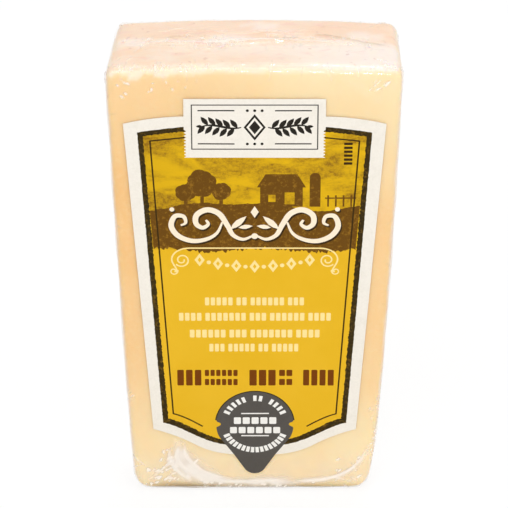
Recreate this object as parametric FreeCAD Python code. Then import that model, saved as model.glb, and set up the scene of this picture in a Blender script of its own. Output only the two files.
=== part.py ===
import FreeCAD, Part
import math
import os

# A film-wrapped portion of a washed-rind vacherin wheel, standing on its narrow foot.
# Millimetres, +Z up, the foot in the plane z = 0, the labelled cut face towards -Y.
#
# The portion is a truncated wedge.  Its two cut faces lean outwards from the foot to the
# rim, so it is thickest at the rind on top.  Each cut face has its own flat coordinates:
# across is X, and along runs up the leaning face from the foot.

# Driving dimensions of the cheese in its film
face_length = 111.7     # foot to rind, measured along a cut face
rim_width = 64.9        # across the cut face at the rind
waist_width = 58.9      # between the points where the tangents of a side's ends meet
foot_width = 53.4       # across the cut face at the foot
waist_height = 10.0     # foot to those points, measured along a cut face
rim_depth = 27.4        # front to back at the rind
foot_depth = 14.8       # front to back at the foot
waist_shift = 0.3       # how far the waist sits right of the rim's middle
foot_shift = 0.8        # how far the foot sits left of the rim's middle
rim_crown = 0.9         # rise of the rind's middle above its corners
left_narrowing = 1.5    # how much closer the left side is at the back of the rim
right_narrowing = 0.2   # the same on the right side
rim_corner = 2.5        # rounding where the rind turns into a side
foot_corner = 3.9       # rounding where the foot turns into a side
cut_edge = 1.5          # rounding round the two cut faces
edge_steps = 4          # flat bands that make up that rounding

# Driving dimensions of the film's end seal, a low ridge across the middle of the rind
seal_rise = 0.5
seal_thickness = 1.2
seal_end_margin = 6.0   # from the end of the ridge to the side of the rim

# Driving dimensions of the paper label on the front cut face
label_thickness = 0.2
label_shift = 0.15          # how far the label sits right of the rim's middle
label_rim_margin = 7.8      # rind edge of the face to the top of the tab
label_foot_margin = 5.1     # foot edge of the face to the tip of the tongue
tab_width = 30.9
tab_height = 4.3            # tab above the inner ends of the shoulders
shoulder_drop = 1.8         # fall of each shoulder from the tab to its outer corner
shoulder_crown = 0.4
upper_side_margin = 3.4     # side of the cheese to the label's upper corners
lower_side_margin = 5.2     # side of the cheese to the label's lower corners
lower_corner_rise = 12.5    # tongue tip to the label's lower corners
ogee_drop = 7.1             # fall of the lower edge from the corner to the tongue
ogee_turn = 0.57            # where the lower edge turns, as a share of its run
ogee_turn_drop = 0.69       # how much of the fall is done at the turn
ogee_crown = 0.45           # bulge of each half of the lower edge
tongue_root_width = 9.6     # tongue where it leaves the lower edge
tongue_tip_radius = 2.65

lean = math.asin((rim_depth - foot_depth) / 2 / face_length)


def face_point(across, along, lift=0.0, side=-1):
    """A point lifted off a cut face; side is -1 for the front and 1 for the back.

    The outline at full size lies deeper than the face by cut_edge, and there the foot is
    at z = 0.
    """
    y = side * (foot_depth / 2 + along * math.sin(lean) + lift * math.cos(lean))
    z = along * math.cos(lean) - (lift + cut_edge) * math.sin(lean)
    return FreeCAD.Vector(across, y, z)


# A stroke of an outline is its kind and two or three flat points (across, along).  An arc
# passes through its middle point, and a bend is only drawn towards it.
def line(start, end):
    return "line", start, end


def arc(start, middle, end):
    return "arc", start, middle, end


def bend(start, pole, end):
    return "bend", start, pole, end


def bowed(start, end, bulge):
    """An arc from start to end, with its middle moved to the left of the way by bulge."""
    run = (end[0] - start[0], end[1] - start[1])
    length = math.hypot(*run)
    middle = (
        (start[0] + end[0]) / 2 - run[1] / length * bulge,
        (start[1] + end[1]) / 2 + run[0] / length * bulge,
    )
    return arc(start, middle, end)


def rounded_corner(before, corner, after, radius):
    """The arc that rounds a corner between two straight ways."""
    to_before = FreeCAD.Vector(before[0] - corner[0], before[1] - corner[1], 0).normalize()
    to_after = FreeCAD.Vector(after[0] - corner[0], after[1] - corner[1], 0).normalize()
    half_angle = to_before.getAngle(to_after) / 2
    setback = radius / math.tan(half_angle)
    cut_back = radius / math.sin(half_angle) - radius
    steps = (
        to_before * setback,
        (to_before + to_after).normalize() * cut_back,
        to_after * setback,
    )
    return arc(*((corner[0] + step.x, corner[1] + step.y) for step in steps))


def turned_round(strokes):
    """The same strokes drawn from their other end."""
    return [(stroke[0], *reversed(stroke[1:])) for stroke in reversed(strokes)]


def mirrored(strokes):
    """The same strokes on the other side of the face's middle line."""
    return [
        (stroke[0], *((-across, along) for across, along in stroke[1:])) for stroke in strokes
    ]


def stroke_edge(stroke, lift, side):
    """The edge that a stroke draws on a cut face."""
    points = [face_point(across, along, lift, side) for across, along in stroke[1:]]
    if stroke[0] == "line":
        return Part.LineSegment(*points).toShape()
    if stroke[0] == "arc":
        return Part.Arc(*points).toShape()
    curve = Part.BezierCurve()
    curve.setPoles(points)
    return curve.toShape()


def face_wire(strokes, lift=0.0, side=-1):
    """A closed wire parallel to a cut face."""
    return Part.Wire([stroke_edge(stroke, lift, side) for stroke in strokes])


def body_outline(inset, left_inset, right_inset):
    """The outline of a cut face, set in all round, and further in at the rim's ends."""
    foot = foot_width / 2 - inset
    waist = waist_width / 2 - inset
    rim = rim_width / 2 - inset
    rim_along = face_length - rim_crown - inset
    foot_left = (-foot - foot_shift, inset)
    foot_right = (foot - foot_shift, inset)
    waist_right = (waist + waist_shift, waist_height)
    rim_right = (rim - right_inset, rim_along)
    crown = (0.0, rim_along + 2 * rim_crown)
    rim_left = (-rim + left_inset, rim_along)
    waist_left = (-waist + waist_shift, waist_height)

    foot_radius = max(foot_corner - inset, foot_corner / 4)
    rim_radius = max(rim_corner - inset, rim_corner / 4)
    lower_left = rounded_corner(waist_left, foot_left, foot_right, foot_radius)
    lower_right = rounded_corner(foot_left, foot_right, waist_right, foot_radius)
    upper_right = rounded_corner(waist_right, rim_right, crown, rim_radius)
    upper_left = rounded_corner(crown, rim_left, waist_left, rim_radius)
    return [
        line(lower_left[3], lower_right[1]),
        lower_right,
        bend(lower_right[3], waist_right, upper_right[1]),
        upper_right,
        bend(upper_right[3], crown, upper_left[1]),
        upper_left,
        bend(upper_left[3], waist_left, lower_left[1]),
        lower_left,
    ]


def wrapped_body():
    """A loft from the front face to the back one, through the rounding of both edges."""
    front_wires = []
    back_wires = []
    for step in range(edge_steps + 1):
        angle = math.radians(90 * step / edge_steps)
        inset = cut_edge * (1 - math.sin(angle))
        sunk = cut_edge * (1 - math.cos(angle))
        back_outline = body_outline(inset, left_narrowing, right_narrowing)
        front_wires.append(face_wire(body_outline(inset, 0.0, 0.0), -sunk, -1))
        back_wires.append(face_wire(back_outline, -sunk, 1))
    return Part.makeLoft(front_wires + back_wires[::-1], True, True)


def end_seal():
    """The low ridge where the film is welded shut, sinking into the rind at both ends."""
    rind_top = face_length * math.cos(lean)
    half = rim_width / 2 - seal_end_margin
    sunk = rind_top - rim_crown - seal_rise - rim_corner / 2
    y = -seal_thickness / 2
    left = FreeCAD.Vector(-half, y, sunk)
    right = FreeCAD.Vector(half, y, sunk)
    crest = FreeCAD.Vector(0.0, y, rind_top + seal_rise)
    outline = Part.Wire(
        [Part.LineSegment(left, right).toShape(), Part.Arc(right, crest, left).toShape()]
    )
    return Part.Face(outline).extrude(FreeCAD.Vector(0.0, seal_thickness, 0.0))


def side_reach(along):
    """How far a side of the front face lies from the middle at a height, unshifted."""
    spread = face_length - 2 * waist_height
    share = (math.sqrt(waist_height**2 + spread * along) - waist_height) / spread
    halves = (foot_width / 2, waist_width / 2, rim_width / 2)
    weights = ((1 - share) ** 2, 2 * share * (1 - share), share**2)
    return sum(half * weight for half, weight in zip(halves, weights))


def label_outline():
    """The label's die-cut outline: tab, shoulders, sides, ogee lower edge and tongue."""
    tab_top = face_length - label_rim_margin
    tab_corner = (tab_width / 2, tab_top)
    shoulder_in = (tab_width / 2, tab_top - tab_height)
    upper_along = shoulder_in[1] - shoulder_drop
    shoulder_out = (side_reach(upper_along) - upper_side_margin, upper_along)
    lower_along = label_foot_margin + lower_corner_rise
    lower_corner = (side_reach(lower_along) - lower_side_margin, lower_along)
    root = (tongue_root_width / 2, lower_along - ogee_drop)
    turn = (
        lower_corner[0] + (root[0] - lower_corner[0]) * ogee_turn,
        lower_corner[1] - ogee_drop * ogee_turn_drop,
    )

    # The tongue's straight side is tangent to the circle of its rounded tip.
    tip_centre = (0.0, label_foot_margin + tongue_tip_radius)
    reach = math.dist(root, tip_centre)
    aim = math.atan2(root[1] - tip_centre[1], root[0] - tip_centre[0])
    touch_angle = aim - math.acos(tongue_tip_radius / reach)
    touch = (
        tongue_tip_radius * math.cos(touch_angle),
        tip_centre[1] + tongue_tip_radius * math.sin(touch_angle),
    )

    right_side = [
        line(tab_corner, shoulder_in),
        bowed(shoulder_in, shoulder_out, shoulder_crown),
        line(shoulder_out, lower_corner),
        bowed(lower_corner, turn, -ogee_crown),
        bowed(turn, root, ogee_crown),
        line(root, touch),
    ]
    tip = arc(touch, (0.0, label_foot_margin), (-touch[0], touch[1]))
    left_side = turned_round(mirrored(right_side))
    tab = line((-tab_corner[0], tab_top), tab_corner)
    return right_side + [tip] + left_side + [tab]


def label():
    """The paper label, lying flat against the film on the front cut face."""
    paper = Part.Face(face_wire(label_outline()))
    slab = paper.extrude(face_point(0.0, 0.0, label_thickness) - face_point(0.0, 0.0))
    slab.translate(FreeCAD.Vector(label_shift, 0.0, 0.0))
    return slab


solids = {
    "wrapped_cheese": wrapped_body().fuse(end_seal()).removeSplitter(),
    "label": label(),
}

os.makedirs("parts", exist_ok=True)
for node, shape in solids.items():
    shape.exportStep(f"parts/{node}.step")
    print(node, len(shape.Solids), f"solid, {shape.Volume / 1000:.2f} cm3", shape.isValid())
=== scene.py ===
import math
import random

import bmesh
import bpy
import numpy as np
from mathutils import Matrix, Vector
from mathutils.bvhtree import BVHTree
from mathutils.geometry import delaunay_2d_cdt


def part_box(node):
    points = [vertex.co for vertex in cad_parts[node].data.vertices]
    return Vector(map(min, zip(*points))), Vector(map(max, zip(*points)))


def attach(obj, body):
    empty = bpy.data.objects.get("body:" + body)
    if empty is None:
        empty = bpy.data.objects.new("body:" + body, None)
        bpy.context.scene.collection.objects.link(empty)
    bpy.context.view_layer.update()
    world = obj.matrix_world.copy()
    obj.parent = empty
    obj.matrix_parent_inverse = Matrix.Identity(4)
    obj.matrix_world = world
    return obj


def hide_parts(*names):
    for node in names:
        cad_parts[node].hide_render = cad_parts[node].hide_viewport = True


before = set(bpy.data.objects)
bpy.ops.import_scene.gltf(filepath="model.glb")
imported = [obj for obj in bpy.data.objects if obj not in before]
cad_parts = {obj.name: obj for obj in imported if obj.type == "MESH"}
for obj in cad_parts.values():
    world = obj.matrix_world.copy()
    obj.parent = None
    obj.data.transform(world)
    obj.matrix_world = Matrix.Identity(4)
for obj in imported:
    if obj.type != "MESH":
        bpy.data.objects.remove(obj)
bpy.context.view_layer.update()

# A film-wrapped portion of washed-rind vacherin with a paper label.  Blender works in
# metres; the sizes below are in millimetres and pass through MM, apart from the stage's.
MM = 0.001
BODY = "wrapped_cheese"
LABEL = "label"
WHITE = (1.0, 1.0, 1.0, 1.0)


def metres(x, y, z):
    """A place or a way given in mm, in metres."""
    return Vector((x, y, z)) * MM


# -------- the cut face's own frame


class CutFace:
    """Flat coordinates in mm on the labelled cut face, read from the CAD label.

    across is X, along runs up the leaning face from the foot, and lift is off the face.
    """

    def __init__(self, node):
        mesh = node.data
        seated = max(mesh.polygons, key=lambda polygon: polygon.normal.y * polygon.area)
        self.normal = -seated.normal.copy()
        self.up = Vector((0.0, self.normal.z, -self.normal.y))
        touching = mesh.vertices[seated.vertices[0]].co
        self.origin = touching - self.up * (touching.z / self.up.z)
        self.origin.x = 0.0

    def point(self, across, along, lift=0.0):
        """A point of the row frame, in metres."""
        step = self.up * along + self.normal * lift
        return self.origin + (step + Vector((across, 0.0, 0.0))) * MM

    def flat(self, points):
        """across, along and lift of many points, as three arrays in mm."""
        offset = (points - np.array(self.origin)) / MM
        return offset[:, 0], offset @ np.array(self.up), offset @ np.array(self.normal)


face = CutFace(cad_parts[LABEL])
body_low, body_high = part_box(BODY)
label_low, label_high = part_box(LABEL)
FACE_TOP = (body_high.z / face.up.z) / MM
LABEL_FOOT = (label_low.z / face.up.z) / MM
LABEL_MIDDLE = (label_low.x + label_high.x) / 2 / MM
LABEL_FRONT = 0.16  # how far the label's two sides lie off the cut face
LABEL_BACK = -0.04
BODY_TOP = body_high.z / MM
FRONT_LIFT = -2.0  # a place less deep than this counts as the front
FILM_DEPTH = 0.06  # how far inside the CAD body the film lies on average
CHEESE_DEPTH = 0.24  # and how far inside it the cheese lies
HIGHEST_FOLD = 0.5
FAR = 1e9  # more than any distance here

# How pale the paste is, by its height on the face. This is partly painted light: paler near
# the top, where light falls from above, deepest at mid-height, and paler again at the foot.
PALE_HEIGHTS = (0, 15, 30, 48, 64, 88, 101, 112)
PALE_SHARES = (1, 0.85, 0.45, 0.2, 0.0, 0.12, 0.36, 0.65)

body_surface = BVHTree.FromObject(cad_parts[BODY], bpy.context.evaluated_depsgraph_get())


def side_x(height, way):
    """x in mm of the CAD body's left or right side, for a way of -1 or 1."""
    return body_surface.ray_cast(metres(0, 0, height), Vector((way, 0, 0)))[0].x / MM


def on_back(point):
    """The place on the back that lies behind a place on the front."""
    return Vector((point.x, -point.y, point.z))


# -------- colour and node helpers


def linear(red, green, blue):
    """A colour given as 0 to 255 sRGB, as Blender's linear RGBA."""
    out = []
    for channel in (red, green, blue):
        value = channel / 255
        out.append(value / 12.92 if value <= 0.04045 else ((value + 0.055) / 1.055) ** 2.4)
    return (*out, 1.0)


class Nodes:
    """The nodes of a material or world, with a few short ways to add and join them."""

    def __init__(self, owner, output="OutputMaterial"):
        self.owner = owner
        owner.use_nodes = True
        self.tree = owner.node_tree
        self.tree.nodes.clear()
        self.output = self.add(output)

    def add(self, kind, inputs=None, **settings):
        """A new node; an input is given as a number, a colour, an output or a node."""
        node = self.tree.nodes.new("ShaderNode" + kind)
        for key, value in settings.items():
            setattr(node, key, value)
        for key, value in (inputs or {}).items():
            if isinstance(value, bpy.types.Node):
                value = value.outputs[0]
            if isinstance(value, bpy.types.NodeSocket):
                self.tree.links.new(value, node.inputs[key])
            else:
                node.inputs[key].default_value = value
        return node

    def noise(self, scale, detail, roughness, distortion=0.0, stretch=(1, 1, 1)):
        """Noise on object coordinates; scale is in features per metre."""
        place = self.add("TexCoord").outputs["Object"]
        inputs = {
            "Vector": self.add("Mapping", {"Vector": place, "Scale": stretch}),
            "Scale": scale,
            "Detail": detail,
            "Roughness": roughness,
            "Distortion": distortion,
        }
        return self.add("TexNoise", inputs)

    def ramp(self, value, low, high, to_low=0.0, to_high=1.0):
        """A soft step from to_low to to_high, while value goes from low to high."""
        span = {"From Min": low, "From Max": high, "To Min": to_low, "To Max": to_high}
        return self.add("MapRange", {"Value": value, **span}, interpolation_type="SMOOTHSTEP")

    def math(self, operation, first, second=0.0, clamp=False):
        return self.add("Math", {0: first, 1: second}, operation=operation, use_clamp=clamp)

    def mix(self, share, first, second):
        """The first colour, giving way to the second as share goes from 0 to 1."""
        return self.add("Mix", {0: share, 6: first, 7: second}, data_type="RGBA").outputs[2]

    def blend(self, share, first, second):
        """The first shader, giving way to the second as share goes from 0 to 1."""
        return self.add("MixShader", {0: share, 1: first, 2: second})

    def attribute(self, name):
        return self.add("Attribute", attribute_name=name).outputs["Fac"]

    def bump(self, height, distance, strength):
        """distance is in mm."""
        settings = {"Height": height, "Distance": distance * MM, "Strength": strength}
        return self.add("Bump", settings)

    def seen(self):
        """1 for what the camera, a reflection or glass shows, and 0 for what gives light."""
        path = self.add("LightPath").outputs
        direct_or_glossy = self.math("MAXIMUM", path["Is Camera Ray"], path["Is Glossy Ray"])
        return self.math("MAXIMUM", direct_or_glossy, path["Is Transmission Ray"])

    def paper(self, colour, fibre):
        """Printed, faintly satin label paper."""
        settings = {
            "Base Color": colour,
            "Roughness": 0.6,
            "Specular IOR Level": 0.08,
            "Normal": self.bump(fibre, 0.02, 0.4),
        }
        return self.add("BsdfPrincipled", settings)

    def finish(self, shader):
        self.tree.links.new(shader.outputs[0], self.output.inputs[0])
        return self.owner


def material_nodes(name):
    return Nodes(bpy.data.materials.new(name))


# -------- materials


def cheese_material():
    """Pale yellow cut faces with a faint grain, and a pale pinkish washed rind. The paste's
    paleness is partly painted light, and a cream band along its top edge is a painted highlight.
    """
    n = material_nodes("cheese")
    # pale is partly painted light: the paste is paler near the top, where light falls from above.
    paste = n.mix(n.attribute("pale"), linear(248, 197, 127), linear(255, 231, 184))
    cloud = n.ramp(n.noise(120.0, 3.0, 0.5), 0.4, 0.7, 0.0, 0.25)
    paste = n.mix(cloud, paste, linear(255, 212, 150))
    grain = n.ramp(n.noise(900.0, 3.0, 0.6), 0.45, 0.75, 0.0, 0.16)
    paste = n.mix(grain, paste, linear(255, 232, 186))
    # Painted highlight: a cream band along the top edge of the cut face, where the film's sheen
    # lies over the rounded edge.
    paste_and_rim_highlight = n.mix(n.attribute("cream"), paste, linear(255, 238, 212))

    washed = n.ramp(n.noise(75.0, 5.0, 0.62, 0.4, (1, 1.9, 1.9)), 0.36, 0.62)
    rind = n.mix(washed, linear(251, 219, 190), linear(254, 233, 212))
    warm = n.ramp(n.noise(130.0, 4.0, 0.6, 0.5, (1, 2.2, 2.2)), 0.56, 0.7, 0.0, 0.6)
    seam = n.attribute("seam")
    rosy = n.ramp(n.noise(210.0, 3.0, 0.6, 0.3, (1, 2.2, 2.2)), 0.56, 0.7)
    rosy = n.math("MULTIPLY", rosy, n.ramp(seam, 0.0, 1.0, 0.3, 0.9))
    speck = n.ramp(n.noise(620.0, 2.0, 0.5), 0.66, 0.74, 0.0, 0.4)
    # Hair lines lie where a slow noise passes through its middle value, in some patches
    wander = n.math("ADD", n.noise(30.0, 3.0, 0.55, 0.3, (1, 3.2, 3.2)), -0.5)
    hair = n.ramp(n.math("ABSOLUTE", wander), 0.0, 0.007, 0.55, 0.0)
    hair = n.math("MULTIPLY", hair, n.ramp(n.noise(45.0, 2.0, 0.5), 0.5, 0.6))
    hair = n.math("MULTIPLY", hair, n.ramp(seam, 0.0, 1.0, 0.25, 1.0))
    for share, colour in (
        (warm, (253, 208, 172)),
        (n.attribute("peach"), (247, 210, 180)),
        (n.attribute("chalk"), (254, 240, 231)),
        (rosy, (243, 192, 184)),
        (speck, (208, 160, 138)),
        (hair, (176, 140, 128)),
    ):
        rind = n.mix(share, rind, linear(*colour))
    settings = {
        "Base Color": n.mix(n.attribute("rind"), paste_and_rim_highlight, rind),
        "Roughness": 0.5,
        "Specular IOR Level": 0.3,
        "Subsurface Weight": 0.3,
        "Subsurface Radius": (0.004, 0.0025, 0.0011),
        "Subsurface Scale": 1.0,
        "Normal": n.bump(n.noise(1400.0, 4.0, 0.6), 0.05, 0.5),
    }
    return n.finish(n.add("BsdfPrincipled", settings))


def film_material():
    """Clear glossy film: see-through, with a sheen, milky where it is folded, whitened with
    painted glints along its ridges, and tinted dark with painted shade in cracks and along the
    foot.
    """
    n = material_nodes("film")
    fine = n.bump(n.noise(260.0, 3.0, 0.55, 0.6), 0.05, 0.35)
    clear = n.add("BsdfTransparent", {"Color": (0.985, 0.98, 0.975, 1.0)})
    gloss = n.add("BsdfGlossy", {"Color": WHITE, "Roughness": 0.07, "Normal": fine})
    facing = n.add("LayerWeight", {"Blend": 0.5, "Normal": fine}).outputs["Facing"]
    steep = n.math("POWER", facing, 6.5)
    shine = n.add("MapRange", {"Value": steep, "To Min": 0.045, "To Max": 1.0})
    # Painted shade: a dark tint on the film, in cracks of the rind and along the foot of the
    # front.
    dim = n.add("BsdfTransparent", {"Color": linear(176, 160, 140)})
    skin = n.blend(n.attribute("furrow"), n.blend(shine, clear, gloss), dim)
    # White where the film is milky, and painted glints: white streaks and ticks along its ridges.
    milky = n.add("BsdfDiffuse", {"Color": linear(255, 249, 241), "Normal": fine})
    haze = n.ramp(n.attribute("haze"), 0.0, 1.0, 0.0, 0.85)
    return n.finish(n.blend(haze, skin, milky))


# How an ink's second colour shows through: its share, its features per metre, and the
# noise between which it comes in
EVEN_PRINT = (0.55, 420.0, 0.48, 0.68)
WORN_PRINT = (0.8, 1100.0, 0.5, 0.66)


def ink_material(name, colour, variation=None, wear=EVEN_PRINT):
    """Print on smooth paper, with the ink's own unevenness."""
    n = material_nodes(name)
    base = linear(*colour)
    if variation:
        share, scale, low, high = wear
        mottle = n.ramp(n.noise(scale, 6.0, 0.72), low, high, 0.0, share)
        base = n.mix(mottle, base, linear(*variation))
    fibre = n.noise(2200.0, 3.0, 0.6)
    base = n.mix(n.ramp(fibre, 0.3, 0.8, 0.0, 0.06), base, linear(90, 80, 60))
    return n.finish(n.paper(base, fibre))


def mustard_material(name, colour):
    """Flat mustard below, and above it a mottled, aged sky."""
    n = material_nodes(name)
    place = n.add("SeparateXYZ", {0: n.add("TexCoord").outputs["Object"]}).outputs
    start = face.point(0.0, LABEL_FOOT + FIELD_FOOT).z
    sky = n.ramp(place["Z"], start - 0.5 * MM, start + 1.5 * MM)
    cloud = n.ramp(n.noise(80.0, 4.0, 0.6, 0.6, (1, 1, 2.2)), 0.36, 0.64, 0.0, 0.42)
    scratch = n.ramp(n.noise(480.0, 5.0, 0.75, 0.4, (1, 1, 2.2)), 0.44, 0.62, 0.0, 0.8)
    grain = n.ramp(n.noise(1300.0, 3.0, 0.75), 0.46, 0.6, 0.0, 0.8)
    left = n.ramp(place["X"], -23.0 * MM, -13.0 * MM, 0.1, 0.0)
    worn = n.math("MULTIPLY", n.math("ADD", scratch, grain), cloud)
    worn = n.math("ADD", n.math("ADD", worn, cloud), left)
    worn = n.math("MULTIPLY", worn, sky, clamp=True)
    soft = n.ramp(n.noise(70.0, 3.0, 0.5), 0.35, 0.65, 0.0, 0.5)
    base = n.mix(soft, linear(*colour), linear(234, 186, 46))
    base = n.mix(sky, base, linear(222, 176, 20))
    base = n.mix(worn, base, linear(144, 104, 22))
    return n.finish(n.paper(base, n.noise(2200.0, 3.0, 0.6)))


def floor_material():
    """A white floor that stays white to the camera and still takes a shadow."""
    n = material_nodes("floor")
    matt = n.add("BsdfDiffuse", {"Color": (0.92, 0.92, 0.92, 1.0)})
    glow = n.add("Emission", {"Color": WHITE, "Strength": 1.04})
    return n.finish(n.blend(n.math("MULTIPLY", n.seen(), 0.8), matt, glow))


# -------- the cheese and its film


def put_in_scene(obj):
    bpy.context.scene.collection.objects.link(obj)
    return obj


def new_piece(name, mesh, materials, smooth=True):
    """An object in the scene that shows this mesh."""
    for material in materials:
        mesh.materials.append(material)
    for polygon in mesh.polygons:
        polygon.use_smooth = smooth
    return put_in_scene(bpy.data.objects.new(name, mesh))


def smooth_out(mesh, factor):
    axes = {"use_axis_" + axis: True for axis in "xyz"}
    bmesh.ops.smooth_vert(mesh, verts=mesh.verts, factor=factor, **axes)


def remeshed_body(name, voxel, smoothing, finer=None):
    """The CAD body as an even mesh of small quads; voxel is their size in mm.

    Where finer says so of a face's middle, the quads are split once more.
    """
    shell = bmesh.new()
    shell.from_mesh(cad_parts[BODY].data)
    bmesh.ops.remove_doubles(shell, verts=shell.verts, dist=0.002 * MM)
    source = bpy.data.meshes.new(name + "_source")
    shell.to_mesh(source)
    shell.free()
    holder = put_in_scene(bpy.data.objects.new(name + "_source", source))
    modifier = holder.modifiers.new("even", "REMESH")
    modifier.mode = "VOXEL"
    modifier.voxel_size = voxel * MM
    graph = bpy.context.evaluated_depsgraph_get()
    mesh = bpy.data.meshes.new_from_object(holder.evaluated_get(graph))
    mesh.name = name
    bpy.data.objects.remove(holder)
    even = bmesh.new()
    even.from_mesh(mesh)
    for _ in range(smoothing):
        smooth_out(even, 0.5)
    if finer:
        edges = {e for f in even.faces if finer(f.calc_center_median()) for e in f.edges}
        bmesh.ops.subdivide_edges(even, edges=list(edges), cuts=1, use_grid_fill=True)
        smooth_out(even, 0.4)
    even.to_mesh(mesh)
    even.free()
    return mesh


def read_points(mesh):
    """The places and normals of a mesh's vertices, as two arrays."""
    arrays = []
    for name in ("co", "normal"):
        values = np.zeros(len(mesh.vertices) * 3)
        mesh.vertices.foreach_get(name, values)
        arrays.append(values.reshape(-1, 3))
    return arrays


def write_shape(mesh, points, **attributes):
    """Moves a mesh's vertices to points, and gives them attributes from 0 to 1."""
    mesh.vertices.foreach_set("co", points.ravel())
    mesh.update()
    for name, values in attributes.items():
        layer = mesh.attributes.new(name, "FLOAT", "POINT")
        layer.data.foreach_set("value", np.clip(values, 0, 1).astype(np.float32))


def smoothstep(low, high, value):
    share = np.clip((value - low) / (high - low), 0, 1)
    return share * share * (3 - 2 * share)


WAVE_COUNT = 7


def waves(points, size, seed):
    """Soft irregular unevenness from -1 to 1, with features of about size mm."""
    rng = np.random.default_rng(seed)
    total = np.zeros(len(points))
    for _ in range(WAVE_COUNT):
        direction = rng.normal(size=3)
        direction /= np.linalg.norm(direction)
        pitch = size * rng.uniform(0.7, 1.5)
        total += np.sin(points @ direction / MM * 2 * math.pi / pitch + rng.uniform(0, 7))
    return total / math.sqrt(WAVE_COUNT) / 1.4


def ripple(points):
    """The gentle unevenness that film and label share, in mm."""
    return 0.05 * waves(points, 16.0, 41)


class Film:
    """Heights in mm that the film stands off its smooth shape, how milky it is, with painted
    glints on its ridges, and where it has painted shade.
    """

    def __init__(self, points):
        self.points = points
        self.across, self.along, lift = face.flat(points)
        self.front = lift > FRONT_LIFT
        self.rise, self.haze, self.furrow = np.zeros((3, len(points)))

    def beside(self, route, width, front_only=False):
        """The film's places near a route, and their nearness from 0 to 1, as two arrays."""
        places = [np.array(body_surface.find_nearest(Vector(p))[0]) for p in route]
        margin = 2.2 * width * MM
        low, high = np.min(places, 0) - margin, np.max(places, 0) + margin
        near = np.all((self.points > low) & (self.points < high), axis=1)
        if front_only:
            near &= self.front
        here = np.where(near)[0]
        lengths = [np.linalg.norm(b - a) + 1e-9 for a, b in zip(places, places[1:])]
        total, passed = sum(lengths), 0.0
        best = np.full(len(here), FAR)
        share_at = np.zeros(len(here))
        for start, end, length in zip(places, places[1:], lengths):
            share, gap = along_run(self.points[here], start, end)
            closer = gap < best
            best = np.where(closer, gap, best)
            share_at = np.where(closer, (passed + share * length) / total, share_at)
            passed += length
        nearness = np.exp(-((best / MM / width) ** 2))
        return here, nearness * np.sin(math.pi * share_at) ** 0.6

    def crease(self, route, width, height, haze=0.0, front_only=False):
        """A ridge along a route of points in metres; width is its half width in mm."""
        here, nearness = self.beside(route, width, front_only)
        self.rise[here] += height * nearness
        # The film is whitened along the ridge: partly milky film, partly a painted glint.
        self.haze[here] += haze * nearness

    def painted_shade_line(self, route, width, depth, shade):
        """A dip along a route, darkened with painted shade, where the film lies in a crack of the
        rind; with no depth, only the painted shade.
        """
        here, nearness = self.beside(route, width)
        self.rise[here] -= depth * nearness
        self.furrow[here] += shade * nearness

    def puckers(self, spot, out, back, start, end, spacing, size, seed, force, lean=0.5):
        """Short ridges across an edge.

        spot gives a point of the edge; out and back are the ways off it over its two faces.
        """
        rng = random.Random(seed)
        along_edge = (spot(end) - spot(start)).normalized() * MM
        place = start
        while place < end:
            place += spacing * rng.uniform(0.25, 1.75)
            strength = rng.uniform(0.25, 1.0)
            middle = spot(min(place, end))
            slant = along_edge * rng.uniform(-lean, lean)
            first = middle + (out + slant) * (rng.uniform(0.2, 1.3) * size * strength)
            last = middle + (back - slant) * (rng.uniform(0.2, 1.3) * size * strength)
            width = rng.uniform(0.2, 0.36)
            height = force * (0.03 + 0.14 * strength * rng.uniform(0.5, 1.0))
            self.crease([first, middle, last], width, height, 1.1 * force * strength)

    def fan(self, corner, toward, spread, reach, count, height, seed):
        """Ridges that run out of a corner over one face; corner and toward are 3-D."""
        rng = random.Random(seed)
        for _ in range(count):
            way = (toward + spread * rng.uniform(-1, 1)).normalized() * MM
            start = reach * rng.uniform(0.12, 0.7)
            length = reach * rng.uniform(0.12, 0.32)
            bend = spread.normalized() * MM * rng.uniform(-0.08, 0.08) * length
            first = corner + way * start
            last = corner + way * (start + length)
            middle = (first + last) / 2 + bend
            tall = height * rng.uniform(0.35, 1.0)
            self.crease([first, middle, last], rng.uniform(0.24, 0.36), tall, 2.6 * tall)

    def painted_glints(self, first_seed, fields):
        """Painted glints: small bright ticks on the front, all running much the same way within a
        field.

        A field is its left, low, right and high edge, the number and length of its ticks,
        and their turn in degrees.
        """
        for seed, (left, low, right, high, count, length, turn) in enumerate(fields, first_seed):
            rng = random.Random(seed)
            for _ in range(count):
                x, y = rng.uniform(left, right), rng.uniform(low, high)
                angle = turn + rng.uniform(-16, 16)
                end = around(x, y, length * rng.uniform(0.3, 1.0), angle)
                width, bright = rng.uniform(0.2, 0.27), rng.uniform(0.4, 1.0)
                route = [face.point(x, y), face.point(*end)]
                self.crease(route, width, 0.02 * bright, bright, front_only=True)

    def pleat(self, route, streak):
        """A broad milky fold on the front, partly a painted highlight, along (across, along, half
        width, height, whiteness).
        """
        here = np.where(self.front)[0]
        place = np.stack([self.across[here], self.along[here]], 1)
        best = np.full(len(here), FAR)
        rise, haze = np.zeros((2, len(here)))
        for first, second in zip(np.array(route), np.array(route[1:])):
            share, gap = along_run(place, first[:2], second[:2])
            wide, tall, milk = (first[2:] + (second - first)[2:] * share[:, None]).T
            closer = gap / wide < best
            best = np.where(closer, gap / wide, best)
            shape = np.exp(-((gap / wide) ** 2))
            rise = np.where(closer, tall * shape, rise)
            haze = np.where(closer, milk * shape, haze)
        streaks = 0.72 + 0.28 * waves(self.points[here], streak, 33)
        self.rise[here] += rise
        self.haze[here] += haze * np.clip(streaks, 0.25, 1.2)


def along_run(points, start, end):
    """How far along a straight run each point lies, from 0 to 1, and its distance from it."""
    run = end - start
    share = np.clip((points - start) @ run / (run @ run + 1e-18), 0, 1)
    return share, np.linalg.norm(points - start - share[:, None] * run, axis=1)


def around(x, y, radius, turn):
    """The place at a distance from x, y, on the side that turn gives in degrees."""
    angle = math.radians(turn)
    return x + radius * math.cos(angle), y + radius * math.sin(angle)


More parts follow.
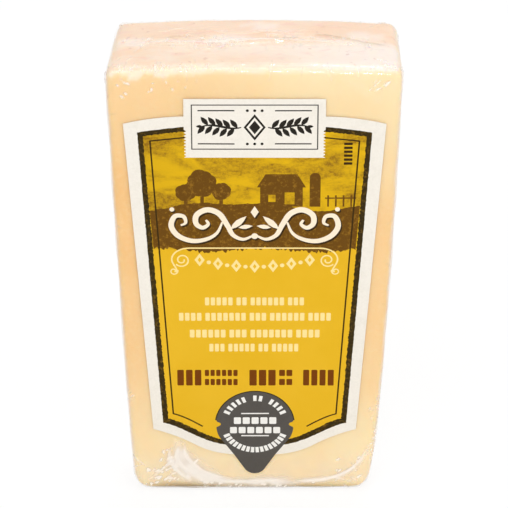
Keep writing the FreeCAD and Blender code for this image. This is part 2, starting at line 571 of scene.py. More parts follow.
def edge_puckers(film):
    """Gathers along the long edges of the portion, densest along the rind."""

    def rim(place):
        return face.point(place, FACE_TOP - 0.4)

    def back_rim(place):
        return on_back(rim(place))

    def foot(place):
        return face.point(place, 0.6)

    right, behind, up = metres(1, 0, 0), metres(0, 1, 0), face.up * MM
    film.puckers(rim, -up, behind, -31, 31, 2.2, 3.4, 11, 0.5, 0.12)
    film.puckers(rim, -up, behind, -31, -10, 0.8, 4.2, 12, 0.45, 0.1)
    film.puckers(back_rim, -up, -behind, -31, 31, 2.2, 3.4, 13, 0.4)
    film.puckers(foot, up, behind, -25, 25, 1.9, 1.6, 14, 0.7)
    for way, depth, seed in ((-1, 1, 15), (-1, -1, 17), (1, 1, 15), (1, -1, 17)):

        def upright(place, way=way, depth=depth):
            spot = face.point(0, place)
            return Vector((side_x(spot.z / MM, way) * MM, depth * spot.y, spot.z))

        ways = -way * right, depth * behind
        film.puckers(upright, *ways, 4, 108, 6.0, 2.6, seed + way, 0.3, 1.4)
        film.puckers(upright, *ways, 6, 28, 2.6, 2.8, seed + 10 + way, 0.45, 1.2)


def corner_fans(film):
    """Ridges that spread from the portion's corners, where the film is drawn tight."""
    right, behind, up = metres(1, 0, 0), metres(0, 1, 0), face.up * MM
    for way, seed in ((-1, 21), (1, 31)):
        inward = -way * right
        top = face.point(way * 31.5, FACE_TOP - 1.0)
        foot = face.point(way * 26.3, 1.2)
        fans = (
            (foot, inward + up, 0.6 * (right + up), 12.0, 7, 0.12),
            (on_back(top), inward - up, 0.8 * (right - up), 10.0, 14, 0.18),
            (on_back(foot), inward + up, 0.8 * (right + up), 12.0, 14, 0.16),
            (top, behind + inward, 0.8 * right, 9.0, 10, 0.12),
            (on_back(top), inward - behind, 0.8 * right, 9.0, 8, 0.08),
            (top, behind - up, 0.7 * up, 12.0, 10, 0.2),
            (on_back(top), -behind - up, 0.7 * up, 12.0, 10, 0.2),
            (foot, behind + up, 0.6 * up, 9.0, 8, 0.16),
        )
        for number, fan in enumerate(fans, 1):
            film.fan(*fan, seed + number)


def corner_glints(film):
    """Painted glints: short parallel ticks on the front, just in from its two upper corners."""
    fields = (
        (-30.0, 107.0, -27.5, 109.0, 4, 2.4, -48),
        (-30.5, 103.0, -27.0, 106.0, 2, 1.8, -45),
        (-24.0, 105.5, -14.0, 108.5, 8, 1.4, -82),
        (24.0, 105.2, 27.5, 107.4, 7, 2.4, 50),
        (27.0, 106.5, 29.5, 108.0, 4, 1.6, 48),
    )
    film.painted_glints(91, fields)


def seal_gathers(film):
    """The end seal across the rind: gathers beside it, slack creases, and cracks darkened with
    painted shade.
    """
    rng = random.Random(51)
    for _ in range(95):
        x = rng.uniform(-29, 29)
        side = rng.choice((-1, 1))
        start = rng.uniform(0.2, 1.5)
        length = rng.uniform(1.2, 4.5)
        lean = rng.uniform(-0.5, 0.5)
        first = metres(x, side * start, BODY_TOP)
        last = metres(x + lean * length, side * (start + length), BODY_TOP)
        tall = rng.uniform(0.015, 0.05)
        film.crease([first, last], rng.uniform(0.3, 0.45), tall, 6.5 * tall)
    for _ in range(26):
        x, y = rng.uniform(-29, 18), rng.uniform(-3.5, 8.5)
        length = rng.uniform(4, 15)
        route = []
        for step in range(5):
            wander = 0.5 * math.sin(step * 1.7 + x)
            route.append(metres(x + length * step / 4, y + wander, BODY_TOP))
        tall = rng.uniform(0.04, 0.1)
        film.crease(route, rng.uniform(0.3, 0.5), tall, 3.0 * tall)
    crest = [-30.5 + 61 * step / 24 for step in range(25)]
    crest = [metres(x, 0.5 * math.sin(x / 5.0), BODY_TOP) for x in crest]
    film.crease(crest, 0.8, 0.22, 0.55)
    # Cracks in the rind, with painted shade along them.
    for shade, crack in (
        (0.55, [(13.0, 3.6), (15.5, 3.7), (17.5, 3.0), (19.5, 2.4), (21.5, 2.0)]),
        (0.4, [(20.0, 1.9), (22.5, 1.5), (24.0, 0.5), (26.0, 0.2), (27.5, -0.6), (29.2, -0.8)]),
        (0.3, [(3.0, 1.9), (5.5, 1.6), (7.5, 2.1), (10.0, 2.3)]),
        (0.25, [(-20.0, 2.9), (-16.5, 3.3), (-13.0, 2.8)]),
    ):
        places = [metres(x, y, BODY_TOP) for x, y in through(crack, 3)]
        film.painted_shade_line(places, 0.26, 0.06, shade)


def slack_folds(film):
    """Long shallow folds on the sides and the back, and the back's lap seam."""
    rng = random.Random(61)
    for _ in range(34):
        way = rng.choice((-1, 1))
        z = rng.uniform(8, 100)
        x, y = side_x(z, way), rng.uniform(-9, 9) * (0.5 + z / 220)
        length = rng.uniform(5, 16)
        rise, reach = rng.uniform(-1, 1) * length, rng.uniform(-0.5, 0.5) * length * 0.5
        first, last = metres(x, y, z), metres(x, y + reach, min(z + rise, 108))
        tall = rng.uniform(0.06, 0.2)
        film.crease([first, (first + last) / 2, last], rng.uniform(0.4, 0.9), tall, tall)
    seam = []
    for step in range(21):
        x, along = 7.0 + 0.4 * math.sin(step), 3 + (FACE_TOP - 6) * step / 20
        seam.append(on_back(face.point(x, along)))
    film.crease(seam, 0.75, 0.3, 0.5)
    for _ in range(24):
        start = on_back(face.point(rng.uniform(-24, 24), rng.uniform(6, 104)))
        length = rng.uniform(3, 12)
        turn = rng.choice((25, 60, 120, 155)) + rng.uniform(-15, 15)
        x, z = around(0, 0, length, turn)
        last = start + metres(x, 0, z)
        last.z = min(max(last.z, 3.0 * MM), body_high.z - 3.0 * MM)
        tall = rng.uniform(0.04, 0.14)
        film.crease([start, last], rng.uniform(0.4, 0.8), tall, tall)
    for _ in range(60):
        start = rng.choice(seam)
        length = rng.uniform(1.5, 7.0) * rng.choice((-1, 1))
        last = start + metres(length, 0, rng.uniform(-0.4, 0.4) * length)
        tall = rng.uniform(0.05, 0.16)
        film.crease([start, last], rng.uniform(0.35, 0.6), tall, 1.3 * tall)


def foot_fold(film):
    """The milky fold that runs from the label round the foot of the front, partly a painted
    highlight, with painted glints near it and painted shade along the foot.
    """
    fold = [
        (-15.0, 16.5, 0.9, 0.04, 0.2),
        (-17.2, 13.5, 1.8, 0.08, 0.55),
        (-17.2, 9.8, 2.8, 0.14, 0.9),
        (-15.2, 6.2, 2.9, 0.16, 0.95),
        (-11.0, 3.2, 2.0, 0.15, 0.9),
        (-5.0, 2.1, 1.1, 0.14, 0.6),
        (4.0, 2.1, 1.5, 0.15, 0.85),
        (11.0, 2.3, 0.9, 0.14, 0.5),
        (19.5, 3.7, 0.5, 0.12, 0.3),
        (24.0, 6.6, 0.5, 0.12, 0.4),
        (26.2, 10.5, 0.5, 0.12, 0.4),
        (28.2, 17.0, 0.5, 0.08, 0.2),
    ]
    film.pleat(fold, 4.0)
    for route in (
        [(-19.4, 12.6), (-19.7, 9.6), (-18.3, 6.0), (-14.6, 2.8)],
        [(-15.9, 13.6), (-16.0, 10.6), (-14.2, 7.6), (-10.4, 4.6), (-5.0, 3.2)],
        [(-17.6, 12.4), (-18.0, 9.4), (-16.2, 6.2), (-13.0, 4.2)],
        [(-12.6, 15.0), (-13.6, 14.3), (-14.0, 13.2)],
        [(-13.4, 5.2), (-8.4, 2.9), (-1.0, 2.6), (6.0, 3.0)],
        [(9.0, 2.6), (16.0, 3.3), (21.5, 5.4), (24.9, 9.0), (26.3, 13.0)],
    ):
        places = [face.point(*place) for place in through(route, 4)]
        film.crease(places, 0.32, 0.14, 0.6, front_only=True)
    fields = (
        (-27.0, 0.9, -18.5, 6.5, 26, 1.6, 35),
        (-22.5, 5.0, -18.0, 11.5, 12, 1.2, 70),
        (-13.0, 12.0, -8.0, 15.5, 7, 1.6, 60),
        (18.0, 1.5, 26.0, 9.0, 8, 1.5, 45),
        (26.0, 8.0, 29.5, 27.0, 14, 1.7, 68),
        (-13.0, 0.5, 16.0, 2.4, 16, 1.2, 25),
        (-20.0, 1.5, -12.0, 9.0, 8, 1.6, 50),
    )
    film.painted_glints(81, fields)
    # Painted shade: a darker strip along the foot of the front, darker still on its lower left.
    under = [face.point(-26.0 + 2.0 * step, 0.5) for step in range(27)]
    film.painted_shade_line(under, 1.5, 0.0, 0.42)
    low_left = [(-25.5, 1.2), (-20.0, 1.4), (-14.0, 1.0), (-7.0, 0.9)]
    film.painted_shade_line([face.point(*spot) for spot in low_left], 1.1, 0.0, 0.28)
    near_foot = smoothstep(15.0, 5.0, film.along)
    milk = 0.3 * smoothstep(1.0, 3.5, film.along) + 0.05 * waves(film.points, 6.0, 34)
    film.haze += film.front * near_foot * milk


def finely_creased(place):
    """Whether a place is on the top, the front's upper edge or its foot."""
    z = place.z / MM
    front = place.y < -6.0 * MM
    return z > FACE_TOP - 4.0 or (front and (z < 18 or z > FACE_TOP - 10.0))


def film_piece():
    """The shrink film all round, with its gathers, corner fans, folds and end seal."""
    mesh = remeshed_body("film", voxel=0.6, smoothing=3, finer=finely_creased)
    points, normals = read_points(mesh)
    film = Film(points)
    edge_puckers(film)
    corner_fans(film)
    corner_glints(film)
    seal_gathers(film)
    slack_folds(film)
    foot_fold(film)
    clear_of_label = smoothstep(-0.2, 0.9, label_distance(film.across, film.along))
    clear_of_label = np.where(film.front, clear_of_label, 1.0)
    slack = 0.09 * waves(points, 9.0, 42) * clear_of_label
    rise = np.minimum(film.rise, HIGHEST_FOLD) * clear_of_label + ripple(points) + slack
    points = points + normals * (rise - FILM_DEPTH)[:, None] * MM
    points = np.clip(points, np.array(body_low), np.array(body_high))
    write_shape(mesh, points, haze=film.haze * clear_of_label, furrow=film.furrow)
    return new_piece("film", mesh, [film_material()])


def label_distance(across, along):
    """How far each place on the face is outside the label's edge, in mm."""
    loop = np.array(label_outline())
    places = np.stack([across - LABEL_MIDDLE, along - LABEL_FOOT], 1)
    x, y = places.T
    nearest = np.full(len(x), FAR)
    inside = np.zeros(len(x), dtype=bool)
    for start, end in zip(loop, np.roll(loop, -1, axis=0)):
        nearest = np.minimum(nearest, along_run(places, start, end)[1])
        run = end - start
        if run[1]:
            crosses = (start[1] > y) != (end[1] > y)
            inside ^= crosses & (x < start[0] + (y - start[1]) / run[1] * run[0])
    return np.where(inside, -nearest, nearest)


def cheese_piece():
    """The cheese inside the film, with the rind on its top and its two sides."""
    mesh = remeshed_body("cheese", voxel=0.8, smoothing=4)
    points, normals = read_points(mesh)
    across, along, lift = face.flat(points)
    depth = points[:, 1] / MM
    back = depth + 0.8 * waves(points, 7.0, 58)
    right = smoothstep(-12, 30, across)
    top = smoothstep(0.45, 0.8, normals[:, 2] + 0.1 * waves(points, 3.0, 51))
    sides = smoothstep(0.6, 0.9, np.abs(normals[:, 0]) + 0.06 * waves(points, 4.0, 52))
    # Painted highlight: cream is a band along the top edge of the cut face; fringe makes its
    # lower edge wander and reach further down on the left.
    fringe = np.sin(across * 2.9) * np.sin(across * 1.7 + 1.0) + np.sin(across * 0.9)
    fringe = smoothstep(-4, -26, across) * (1.0 + 0.6 * fringe)
    fringe += 0.2 * waves(points, 3.5, 53)
    cream = smoothstep(FACE_TOP - 2.8, FACE_TOP - 1.5, along + fringe)
    # pale is partly painted light: paler near the top, where light falls from above, and paler to
    # the right, most of all high up.
    pale = np.interp(along, PALE_HEIGHTS, PALE_SHARES)
    pale += right * (0.12 + 0.42 * smoothstep(70, 90, along))
    pale += np.where(lift > FRONT_LIFT, 0.1, 0.2) * waves(points, 22.0, 57)
    peach = 0.55 * smoothstep(1.5, 6.0, back) + 0.25 * smoothstep(-4, -10, back) * (1 - right)
    chalk = 0.85 * right * smoothstep(3, -3, back)
    for x, y, reach in ((-6.0, 2.0, 4.0), (2.0, 8.5, 3.5), (-27.0, 1.0, 3.0), (24.0, 4.0, 4.0)):
        away = np.hypot((across - x) / 1.6, depth - y) + 0.8 * waves(points, 3.0, 59)
        chalk += 0.65 * smoothstep(reach, 0.2 * reach, away)
    seam = np.exp(-(((back - 1.2) / 2.6) ** 2)) * smoothstep(16, 6, across)
    rise = 0.05 * waves(points, 9.0, 54) + 0.02 * waves(points, 3.0, 55)
    rise += top * (0.06 * waves(points, 4.0, 56))
    points = points + normals * (rise - CHEESE_DEPTH)[:, None] * MM
    looks = {"cream": cream, "pale": pale, "peach": peach * top, "chalk": chalk * top}
    write_shape(mesh, points, rind=np.maximum(top, 0.8 * sides), seam=seam, **looks)
    return new_piece("cheese", mesh, [cheese_material()])


# -------- the label's print
# Label coordinates in mm: across from the label's middle, and height above the tip of its
# tongue.  A shape is an ink and a closed polygon; a later shape covers an earlier one.


def steps_round(corners):
    """Each corner of a closed shape with the next one."""
    return zip(corners, corners[1:] + corners[:1])


def rim_of(panels):
    """The edges, as pairs of corners, that only one of these panels has."""
    edges = {edge for corners in panels for edge in steps_round(corners)}
    return sorted(edge for edge in edges if edge[::-1] not in edges)


def label_outline():
    """The label's die-cut outline, read from the front side of the CAD label."""
    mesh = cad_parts[LABEL].data
    panels = []
    for polygon in mesh.polygons:
        if polygon.normal.y < -0.5:
            panels.append([label_place(mesh.vertices[i].co) for i in polygon.vertices])
    following = dict(rim_of(panels))
    loop = [min(following, key=lambda place: place[::-1])]
    while following[loop[-1]] != loop[0]:
        loop.append(following[loop[-1]])
    return loop


def label_place(point):
    """Label coordinates of a point, rounded so that equal corners meet."""
    offset = (point - face.origin) / MM
    along = offset.dot(face.up) - LABEL_FOOT
    return round(offset.x - LABEL_MIDDLE, 3), round(along, 3)


def rectangle(left, low, right, high):
    return [(left, low), (right, low), (right, high), (left, high)]


def bar(left, low, right, high, corner=None, steps=4):
    """A rectangle with round corners; by default its ends are half circles."""
    radius = min(corner or FAR, (high - low) / 2, (right - left) / 2)
    points = []
    for x, y, turn in (
        (right - radius, low + radius, -90),
        (right - radius, high - radius, 0),
        (left + radius, high - radius, 90),
        (left + radius, low + radius, 180),
    ):
        points += arc(x, y, radius, turn, turn + 90, steps)
    return points


def arc(x, y, radius, start, end, steps):
    return spiral(x, y, radius, radius, start, end - start, steps)


def disc(x, y, radius, steps=14):
    return arc(x, y, radius, 0, 360, steps)[:-1]


def stroke(route, widths):
    """A line along a route, with a width at each point."""
    left, right = [], []
    for index, (x, y) in enumerate(route):
        before = route[max(index - 1, 0)]
        after = route[min(index + 1, len(route) - 1)]
        run_x, run_y = after[0] - before[0], after[1] - before[1]
        length = math.hypot(run_x, run_y) or 1.0
        half = widths[index] / 2
        left.append((x - run_y / length * half, y + run_x / length * half))
        right.append((x + run_y / length * half, y - run_x / length * half))
    return left + right[::-1]


def curve(start, first_pull, second_pull, end, steps=10):
    """Points of a cubic Bezier curve."""
    points = []
    for step in range(steps + 1):
        t = step / steps
        shares = ((1 - t) ** 3, 3 * t * (1 - t) ** 2, 3 * t * t * (1 - t), t**3)
        corners = (start, first_pull, second_pull, end)
        points.append(tuple(sum(k * c[i] for k, c in zip(shares, corners)) for i in (0, 1)))
    return points


def through(points, steps=10):
    """A smooth route through these points."""
    ends = [points[0]] + points + [points[-1]]
    route = []
    for a, b, c, d in zip(ends, ends[1:], ends[2:], ends[3:]):
        first = tuple(b[i] + (c[i] - a[i]) / 6 for i in (0, 1))
        second = tuple(c[i] - (d[i] - b[i]) / 6 for i in (0, 1))
        route += curve(b, first, second, c, steps)[:-1]
    return route + [points[-1]]


def spiral(x, y, outer, inner, start, sweep, steps=26):
    """A spiral route from its outside in; start and sweep are in degrees."""
    route = []
    for step in range(steps + 1):
        share = step / steps
        route.append(around(x, y, outer + (inner - outer) * share, start + sweep * share))
    return route


def swelling(route, thin, thick):
    """A pen stroke: thin at its ends and thick in the middle."""
    last = len(route) - 1
    widths = [thin + (thick - thin) * math.sin(math.pi * i / last) for i in range(last + 1)]
    return stroke(route, widths)


def leaf(x, y, length, width, turn):
    """A leaf from its stalk at x, y; turn is in degrees."""
    side = [(0.25, 0.38), (0.5, 0.5), (0.75, 0.34)]
    shape = [(0, 0)] + side + [(1, 0)] + [(share, -half) for share, half in reversed(side)]
    tip_x, tip_y = around(0, 0, 1, turn)
    points = []
    for share, half in shape:
        run, rise = share * length, half * width
        points.append((x + tip_x * run - tip_y * rise, y + tip_y * run + tip_x * rise))
    return points


def lozenge(x, y, half_width, half_height):
    return [(x - half_width, y), (x, y - half_height), (x + half_width, y), (x, y + half_height)]


def shifted(points, across, up):
    return [(x + across, y + up) for x, y in points]


def even_stroke(route, width):
    return stroke(route, [width] * len(route))


def roughened(points, step, amount, seed):
    """The same outline with small steps along it, each moved a little."""
    rng = random.Random(seed)
    out = []
    for (x0, y0), (x1, y1) in steps_round(points):
        pieces = max(1, round(math.hypot(x1 - x0, y1 - y0) / step))
        for share in (piece / pieces for piece in range(pieces)):
            x = x0 + (x1 - x0) * share + rng.uniform(-amount, amount)
            out.append((x, y0 + (y1 - y0) * share + rng.uniform(-amount, amount)))
    return out


def mirrored(points):
    return [(-x, y) for x, y in reversed(points)]


# The printed shield inside the label's white border
SHIELD_TOP = 92.8  # height of its top edge over the middle
SHIELD_FALL = 0.0033  # how the top edge falls away to the sides, per mm squared
SHIELD_UPPER = 25.6  # half the width at the top
SHIELD_OGEE = ((21.15, 14.3), (16.2, 13.2), (12.6, 8.9), (6.0, 8.0))
BAND_WIDTH = 1.2
LINE_TOP = (22.85, 88.5)
LINE_LOW = (18.75, 16.7)
LINE_WIDTH = 0.36
FIELD_FOOT = 61.0  # below it the mustard is plain


def shield(inset):
    """The shield's outline, set in by some mm."""
    ogee = curve(*SHIELD_OGEE)
    widest = ogee[0][0]
    ogee = [(x - inset * x / widest, y + inset) for x, y in reversed(ogee)]
    half = SHIELD_UPPER - inset
    across = [half * (1 - step / 8) for step in range(17)]
    top = [(x, SHIELD_TOP - SHIELD_FALL * x * x - inset) for x in across]
    return ogee + top + mirrored(ogee)


class Print:
    """The label's shapes, each with its ink, from the lowest to the uppermost."""

    def __init__(self):
        self.shapes = []

    def add(self, ink, *outlines):
        for points in outlines:
            ends = steps_round(points)
            area = sum(x0 * y1 - x1 * y0 for (x0, y0), (x1, y1) in ends)
            self.shapes.append((ink, points if area > 0 else points[::-1]))

    def both(self, ink, *outlines):
        """The shapes and their mirror images."""
        for points in outlines:
            self.add(ink, points, mirrored(points))


def draw_field(page):
    """The dark band with its rough inner edge, and the mustard field."""
    page.add("band", roughened(shield(0.0), 0.45, 0.05, 61))
    page.add("mustard", roughened(shield(BAND_WIDTH), 0.35, 0.12, 62))


def draw_thin_line(page):
    """The thin line that follows the band inside the field."""
    x, y = LINE_LOW
    foot = curve((x, y + 0.1), (16.8, 16.3), (14.4, 14.9), (12.0, 13.3))
    side = [(LINE_TOP[0], LINE_TOP[1] + 0.15), LINE_LOW]
    for route in ([(15.2, 89.35), LINE_TOP], side, foot):
        page.both("line", even_stroke(route, LINE_WIDTH))


def draw_landscape(page):
    """Rolling fields with round trees, a barn, a silo and a fence, printed in brown."""
    rng = random.Random(71)
    reach, ground = 23.25, 72.0
    ridge = []
    for step in range(91):
        x = -reach + 2 * reach * step / 90
        roll = 0.9 * math.sin(x / 6.5 + 2.4) + 0.45 * math.sin(x / 3.1)
        ridge.append((x, 72.2 + roll + rng.uniform(-0.16, 0.16)))
    foot = []
    for step in range(121):
        x = reach - 2 * reach * step / 120
        wash = 0.5 * math.sin(x / 4.0 + 1.0)
        foot.append((x * 0.967, 60.9 + wash + rng.uniform(-0.6, 0.4)))
    earth = [ridge + foot]
    for x, y, radius in ((-15.2, 75.6, 2.3), (-11.6, 77.9, 3.5), (-7.4, 75.9, 2.2)):
        earth.append(rectangle(x - 0.4, ground - 0.5, x + 0.4, y))
        for middle in arc(x, y, 0.5 * radius, 20, 335, 7):
            earth.append(disc(*middle, radius * rng.uniform(0.42, 0.56), 16))
        earth.append(disc(x, y, 0.7 * radius, 16))
    roof = [(0.5, 76.9), (11.3, 76.9), (9.4, 80.2), (2.4, 80.2)]
    earth += [rectangle(1.2, ground, 10.6, 77.0), roof]
    earth += [rectangle(12.1, ground, 14.5, 79.4), disc(13.3, 79.4, 1.2, 18)]
    earth += [rectangle(x, ground, x + 0.4, 74.9) for x in (16.0, 17.7, 19.4, 21.1)]
    earth.append(rectangle(15.5, 74.0, 22.4, 74.35))
    page.add("earth", *earth)
    page.add("mustard", bar(3.0, 73.2, 4.6, 75.0, 0.1), bar(6.6, 72.6, 8.8, 75.6, 0.1))


def draw_flourish(page):
    """A symmetric pen flourish in cream, with a dark shadow."""
    rise = [(0.6, 64.4), (2.6, 63.6), (4.8, 64.7), (6.1, 67.3), (7.9, 70.2), (10.5, 71.2)]
    rise += [(12.8, 69.9), (13.0, 67.7), (11.6, 66.6), (10.3, 67.5), (10.8, 68.6)]
    fall = [(7.2, 68.0), (8.4, 65.2), (10.8, 63.6), (14.0, 63.2), (17.0, 64.5), (18.5, 67.0)]
    fall += [(17.7, 69.5), (15.8, 69.5), (15.3, 67.9), (16.4, 67.2)]
    half = [
        swelling(through(rise), 0.5, 1.35),
        swelling(through(fall), 0.4, 1.25),
        leaf(5.4, 66.2, 4.9, 1.5, 137),
        leaf(3.6, 66.6, 3.2, 1.1, 172),
        disc(18.3, 71.3, 0.55),
    ]
    shapes = half + [mirrored(shape) for shape in half]
    shapes += [lozenge(0.0, 70.6, 0.9, 1.5), disc(0.0, 64.4, 0.75, 16)]
    page.add("shadow", *(shifted(shape, 0.3, -0.42) for shape in shapes))
    page.add("cream", *shapes)


def draw_scroll_frame(page):
    """A thin line that curls in at both ends, over a sagging row of lozenges."""
    page.add("soft_cream", rectangle(-14.6, 61.13, 14.6, 61.47))
    corner = curve((14.5, 61.3), (17.4, 61.3), (19.3, 59.2), (18.2, 57.2), 12)
    corner += curve((18.2, 57.2), (17.7, 56.2), (17.2, 55.6), (17.5, 54.9), 6)[1:]
    large_curl = spiral(16.25, 58.2, 1.75, 0.45, -40, -520)
    small_curl = spiral(18.1, 55.3, 0.95, 0.3, 160, 430, 20)
    for route, width in ((corner, 0.36), (large_curl, 0.34), (small_curl, 0.3)):
        page.both("soft_cream", even_stroke(route, width))
    count, reach = 7, 12.3
    for index in range(2 * count - 1):
        x = reach * (index / (count - 1) - 1)
        sag = 1.75 * (x / reach) ** 2
        if index % 2:
            page.add("soft_cream", disc(x, 56.4 + sag, 0.5))
        else:
            page.add("soft_cream", lozenge(x, 56.5 + sag, 1.15, 1.65))
            page.add("mustard", lozenge(x, 56.5 + sag, 0.4, 0.65))


def blocks(page, ink, left, right, low, high, words, gap=0.34):
    """A line of small blocks in groups, from left to right; words gives their numbers."""
    space = 2.6 * gap
    count = sum(words)
    gaps = gap * (count - len(words)) + space * (len(words) - 1)
    width = (right - left - gaps) / count
    x = left
    for word in words:
        for _ in range(word):
            page.add(ink, bar(x, low, x + width, high, 0.22, 2))
            x += width + gap
        x += space - gap


def draw_lines(page):
    """Where the pack's wording stood: four cream lines, a brown row and an upright code."""
    for left, right, low, words in (
        (-11.2, 11.1, 46.3, (5, 2, 6, 3)),
        (-17.1, 17.2, 42.2, (4, 7, 3, 6, 4)),
        (-14.7, 14.7, 37.7, (6, 3, 7, 4)),
        (-10.3, 9.9, 33.9, (3, 5, 2, 5)),
    ):
        blocks(page, "soft_cream", left, right, low, low + 2.1, words)
    for left, right, count in ((-17.7, -12.2, 3), (-1.2, 4.8, 3), (11.1, 18.1, 4)):
        blocks(page, "facts", left, right, 24.6, 28.9, (count,), 0.5)
    for left, right, count in ((-11.4, -3.9, 6), (5.6, 8.6, 2)):
        for low in (24.7, 27.2):
            blocks(page, "facts", left, right, low, low + 1.7, (count,))
    for step in range(6):
        low = 82.6 + 0.98 * step
        page.add("shadow", bar(19.5, low, 21.4, low + 0.62, 0.15, 2))


def draw_plate(page):
    """The white plate on the shield's top: scalloped sides, a thin frame and a sprig."""
    half, low, high = 15.2, 84.35, 98.75
    count, scallop_top, swing = 9, 91.3, 0.24
    side = []
    for step in range(count * 6 + 1):
        y = low + (scallop_top - low) * step / (count * 6)
        side.append((half + swing * math.cos(step / 6 * 2 * math.pi), y))
    side += [(half + swing, 92.0), (half + swing, high)]
    page.add("plate", side + mirrored(side))
    page.add("plate_ink", rectangle(-13.85, 86.35, 13.85, 97.5))
    page.add("plate", rectangle(-13.6, 86.6, 13.6, 97.25))
    middle = 91.9
    for half_width, ink in ((2.4, "plate_ink"), (1.8, "plate"), (1.25, "plate_ink")):
        page.add(ink, lozenge(0.0, middle, half_width, half_width * 1.35))
    stem = curve((2.9, middle), (5.9, 90.9), (8.3, 93.2), (11.5, 92.1), 16)
    sprig = [swelling(stem, 0.25, 0.55), leaf(11.3, 92.1, 1.5, 0.75, 0)]
    for x in (3.7, 5.3, 6.9, 8.5, 10.1):
        y = float(np.interp(x, *zip(*stem)))
        sprig += [leaf(x, y, 2.7, 1.15, 52), leaf(x + 0.7, y, 2.7, 1.15, -52)]
    sprig += [rectangle(4.4, y - 0.15, 12.4, y + 0.15) for y in (96.0, 87.8)]
    page.both("plate_ink", *sprig)
    dots = [disc(x, y, 0.34, 12) for x in (-1.6, 0.0, 1.6) for y in (96.0, 87.8)]
    page.add("plate_ink", *dots)


SEAL = (0.05, 13.9)
SEAL_RADIUS = 8.97


def draw_seal(page):
    """The dark badge, which runs down into the label's tongue."""
    page.add("seal_rim", arc(*SEAL, SEAL_RADIUS + 0.28, 7, 173, 40))
    badge = []
    for step in range(121):
        turn = -24 + 228 * step / 120
        from_notch = min(abs(turn), abs(turn - 180))
        radius = SEAL_RADIUS - 1.1 * math.exp(-((from_notch / 4.0) ** 4))
        badge.append(around(*SEAL, radius, turn))
    badge += [(-4.8, 5.4), (-4.8, -1.0), (4.8, -1.0), (4.8, 5.4)]
    page.add("seal", badge)
    page.add("seal_light", *(rectangle(-3.1, low, 3.3, low + 0.32) for low in (16.7, 10.5)))
    blocks(page, "seal_light", -4.8, 5.0, 13.95, 15.8, (5,), 0.4)
    blocks(page, "seal_light", -5.7, 5.9, 11.35, 13.1, (6,), 0.4)
    upper_gaps = (5, 8)
    for start, end, count, left_out in ((153, 27, 13, upper_gaps), (206, 334, 16, ())):
        for index in range(count):
            turn = start + (end - start) * index / (count - 1)
            inner = arc(*SEAL, 6.45, turn - 3.3, turn + 3.3, 2)
            outer = arc(*SEAL, 7.95, turn + 2.9, turn - 2.9, 2)
            if index not in left_out:
                page.add("seal_light", inner + outer)


# Each ink's colour, the colour that shows through it, and how that colour shows
INKS = {
    "paper": ((241, 235, 224), (234, 228, 215)),
    "plate": ((241, 235, 224), (236, 229, 216)),
    "plate_ink": ((38, 34, 29),),
    "band": ((52, 40, 12), (112, 84, 26), WORN_PRINT),
    "line": ((60, 42, 8),),
    "mustard": ((228, 179, 34),),
    "earth": ((106, 70, 14), (152, 108, 30), WORN_PRINT),
    "cream": ((251, 235, 209),),
    "soft_cream": ((252, 226, 152),),
    "shadow": ((58, 40, 12),),
    "facts": ((116, 60, 4),),
    "seal": ((86, 82, 78), (80, 76, 72)),
    "seal_rim": ((58, 50, 28),),
    "seal_light": ((242, 240, 235),),
}


def label_piece():
    """The paper label: one thin closed mesh, with a material for each ink."""
    page = Print()
    page.add("paper", label_outline())
    for draw in (draw_field, draw_landscape, draw_thin_line, draw_flourish):
        draw(page)
    for draw in (draw_scroll_frame, draw_lines, draw_plate, draw_seal):
        draw(page)
    names = list(INKS)
    points, faces = [], []
    for _, shape in page.shapes:
        faces.append(list(range(len(points), len(points) + len(shape))))
        points += [Vector(place) for place in shape]
    # A grid of loose points lets the flat label follow the face's gentle unevenness
    for across in range(-27, 28, 3):
        points += [Vector((across, up)) for up in range(3, 98, 3)]
    flat, _, triangles, _, _, owners = delaunay_2d_cdt(points, [], faces, 1, 1e-4)
    kept = [(corners, owner) for corners, owner in zip(triangles, owners) if 0 in owner]

    build = bmesh.new()
    sides = []
    for lift in (LABEL_FRONT, LABEL_BACK):
        places = [face.point(x + LABEL_MIDDLE, y + LABEL_FOOT, lift) for x, y in flat]
        side = []
        for place, swell in zip(places, ripple(np.array(places))):
            side.append(build.verts.new(place + face.normal * swell * MM))
        sides.append(side)
    front, back = sides
    for corners, owner in kept:
        panel = build.faces.new([front[i] for i in corners])
        panel.material_index = names.index(page.shapes[max(owner)][0])
        build.faces.new([back[i] for i in reversed(corners)])
    for one, other in rim_of([corners for corners, _ in kept]):
        build.faces.new([front[other], front[one], back[one], back[other]])
    loose = [vertex for vertex in build.verts if not vertex.link_faces]
    bmesh.ops.delete(build, geom=loose, context="VERTS")
    mesh = bpy.data.meshes.new("label_print")
    build.to_mesh(mesh)
    build.free()
    materials = []
    for name, looks in INKS.items():
        make = mustard_material if name == "mustard" else ink_material
        materials.append(make("ink_" + name, *looks))
    return new_piece("label_print", mesh, materials, smooth=False)


# -------- the stage


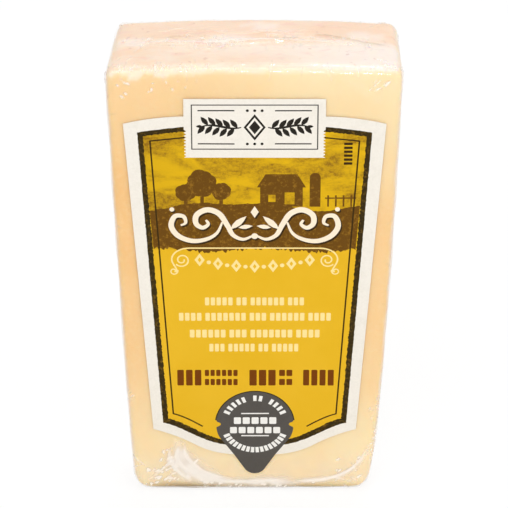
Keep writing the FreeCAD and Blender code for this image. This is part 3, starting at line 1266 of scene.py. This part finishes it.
def add_camera():
    """Above the front of the label, from some way off."""
    elevation = math.radians(27.77)
    distance = 0.6435
    target = face.point(0.0, 64.7)
    data = bpy.data.cameras.new("camera")
    data.sensor_width = 36.0
    data.lens = 204.4
    camera = put_in_scene(bpy.data.objects.new("camera", data))
    camera.location = target + distance * Vector((0.0, -math.cos(elevation), math.sin(elevation)))
    camera.rotation_euler = (math.radians(90) - elevation, 0.0, 0.0)
    bpy.context.scene.camera = camera


def add_lamp(name, place, size, power):
    """A square lamp that faces the middle of the portion, in metres and watts."""
    data = bpy.data.lights.new(name, "AREA")
    data.size = size
    data.energy = power
    lamp = put_in_scene(bpy.data.objects.new(name, data))
    lamp.location = place
    aim = Vector((0.0, 0.0, body_high.z / 2)) - Vector(place)
    lamp.rotation_euler = aim.to_track_quat("-Z", "Y").to_euler()


def add_stage():
    """White floor, white surroundings, soft lamps, and small ones that glint in the film."""
    floor = bpy.data.meshes.new("floor")
    reach = 3.0
    corners = [(x, y, 0) for x, y in rectangle(-reach, -reach, reach, reach)]
    floor.from_pydata(corners, [], [(0, 1, 2, 3)])
    new_piece("floor", floor, [floor_material()], smooth=False)

    n = Nodes(bpy.data.worlds.new("world"), "OutputWorld")
    light = n.add("Background", {"Color": WHITE, "Strength": 0.47})
    shown = n.add("Background", {"Color": WHITE, "Strength": 1.0})
    bpy.context.scene.world = n.finish(n.blend(n.seen(), light, shown))

    for name, place, size, power in (
        ("key", (-0.4, -0.85, 1.05), 1.1, 5.9),
        ("fill", (0.8, -0.7, 0.7), 0.9, 2.9),
        ("top", (0.0, 0.1, 1.1), 0.9, 1.5),
        ("behind", (0.2, 0.7, 1.1), 1.0, 3.2),
        ("spark_left", (-0.5, -0.8, 0.12), 0.06, 0.4),
        ("spark_middle", (0.08, -0.95, 0.1), 0.06, 0.4),
        ("spark_right", (0.55, -0.7, 0.2), 0.06, 0.4),
        ("spark_top", (0.1, 0.5, 0.9), 0.06, 0.35),
    ):
        add_lamp(name, place, size, power)


def dress():
    """Makes the pieces, hides the CAD node that each stands for, and ties each to the root."""
    for piece, node in ((film_piece(), BODY), (cheese_piece(), BODY), (label_piece(), LABEL)):
        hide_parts(node)
        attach(piece, "root")


add_stage()
add_camera()
dress()
bpy.context.scene.view_settings.view_transform = "Standard"
